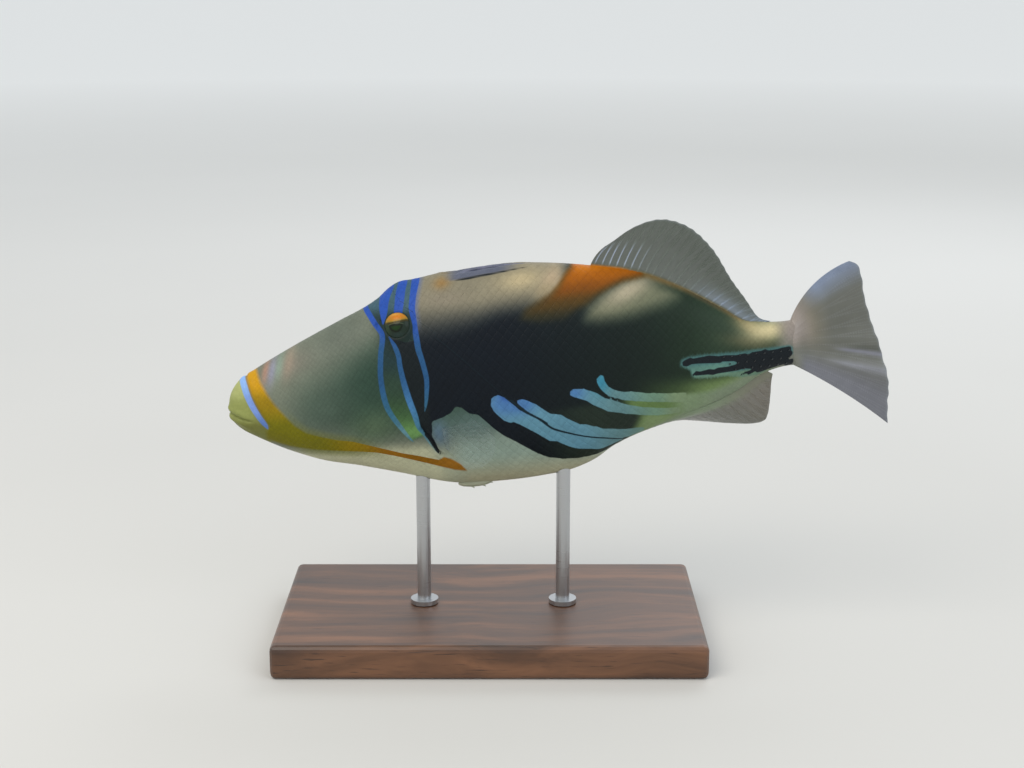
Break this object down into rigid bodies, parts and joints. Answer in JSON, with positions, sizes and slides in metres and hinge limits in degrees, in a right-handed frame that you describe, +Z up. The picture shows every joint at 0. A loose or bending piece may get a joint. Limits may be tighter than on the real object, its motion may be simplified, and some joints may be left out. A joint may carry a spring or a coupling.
{
  "type": "picasso triggerfish model",
  "caption": "Life-size slender reef triggerfish swimming nose down, with folded first dorsal, undulating fins and a spread tail, held on rods over a flat display base.",
  "frame": {"origin": "middle of the underside of the display base, on the surface that it stands on", "axes": "+X along the fish from snout to tail, +Y towards the fish's right side, +Z up"},
  "size_m": [0.2323, 0.084, 0.1525],
  "materials": {
    "skin": "moist scaled fish skin, banded blue, orange, black and olive",
    "eye": "clear wet cornea over an orange and dark green iris",
    "spine": "rough blue-grey bone under thin skin",
    "fin": "thin translucent grey membrane over fine rays",
    "stand_wood": "dark oiled walnut, fine grain",
    "stand_steel": "brushed steel rod"
  },
  "bodies": {
    "root": {"head": "skin", "torso": "skin", "tail_stem": "skin", "pelvic_spine": "skin", "eye_left": "eye", "eye_right": "eye", "dorsal_spines": "spine", "dorsal_fin": "fin", "anal_fin": "fin", "tail_fin": "fin", "pectoral_fin_left": "fin", "pectoral_fin_right": "fin", "stand_base": "stand_wood", "stand_rod_front": "stand_steel", "stand_rod_rear": "stand_steel"}
  },
  "joints": []
}
